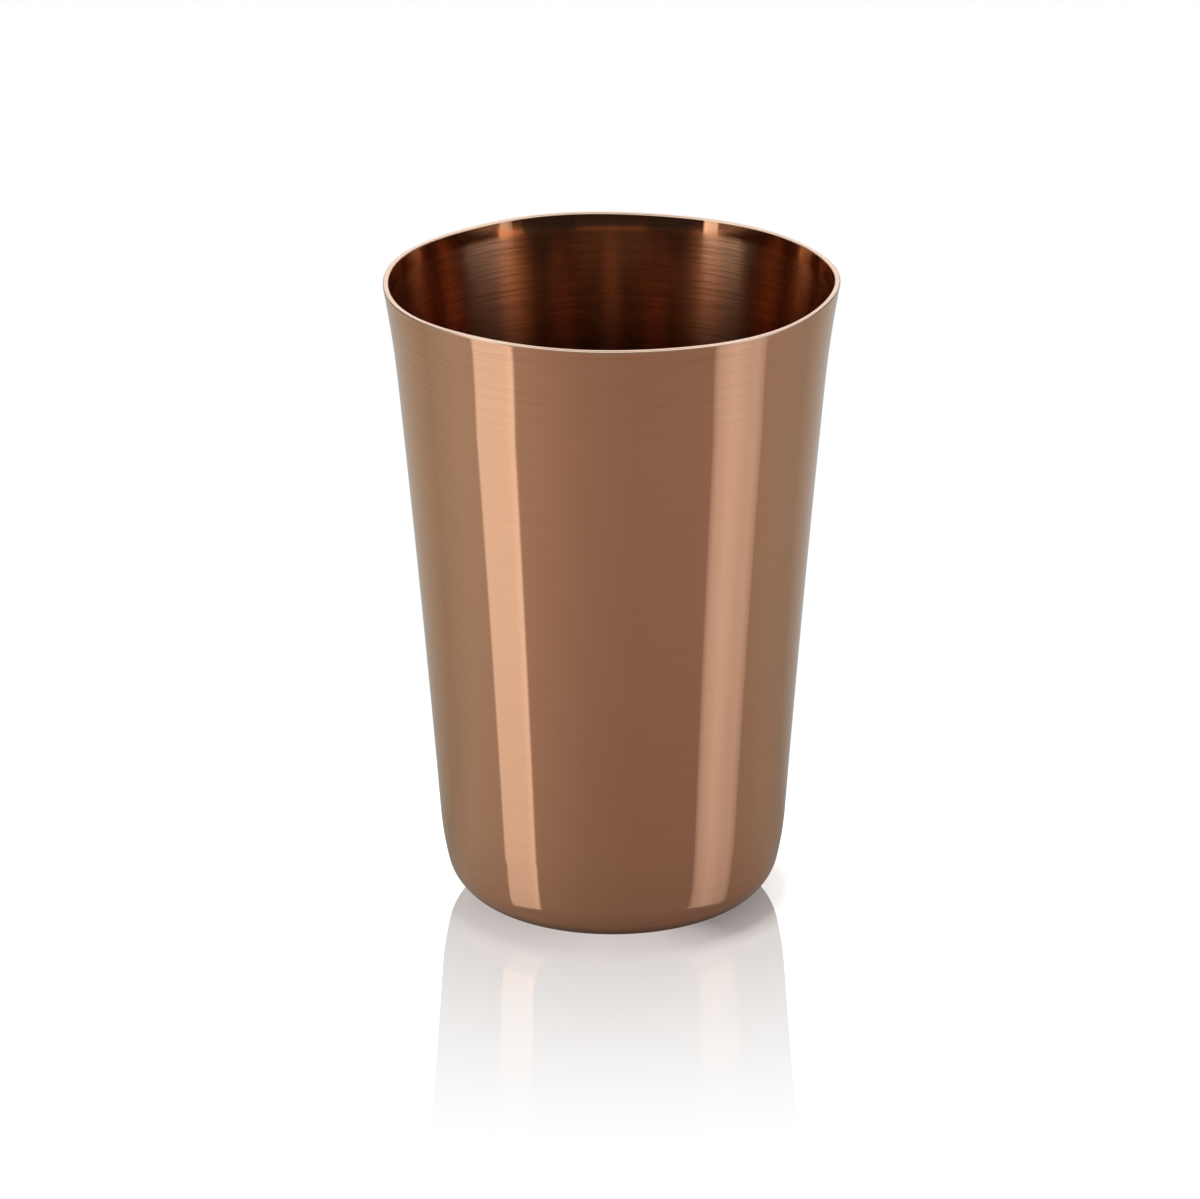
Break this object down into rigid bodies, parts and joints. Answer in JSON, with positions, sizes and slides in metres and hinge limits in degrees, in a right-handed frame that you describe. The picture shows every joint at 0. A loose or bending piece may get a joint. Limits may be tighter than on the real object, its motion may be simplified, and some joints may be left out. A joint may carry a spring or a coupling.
{
  "type": "double-walled tumbler",
  "caption": "Tapered double-walled copper tumbler with a round bottom corner, a gently flared lip and no handle.",
  "frame": {"origin": "centre of the flat ring that the cup stands on", "axes": "+Z along the cup's axis, from the base to the lip; -Y faces the picture's camera"},
  "size_m": [0.0872, 0.0872, 0.1253],
  "materials": {
    "outside_copper": "mirror polished, with very fine spun lines round the cup",
    "inside_copper": "polished, with fine brush lines round the wall",
    "lip_copper": "polished",
    "plug_metal": "satin"
  },
  "bodies": {
    "root": {"outer_shell": "outside_copper", "inner_liner": "inside_copper", "rim_ring": "lip_copper", "vent_plug": "plug_metal"}
  },
  "joints": []
}
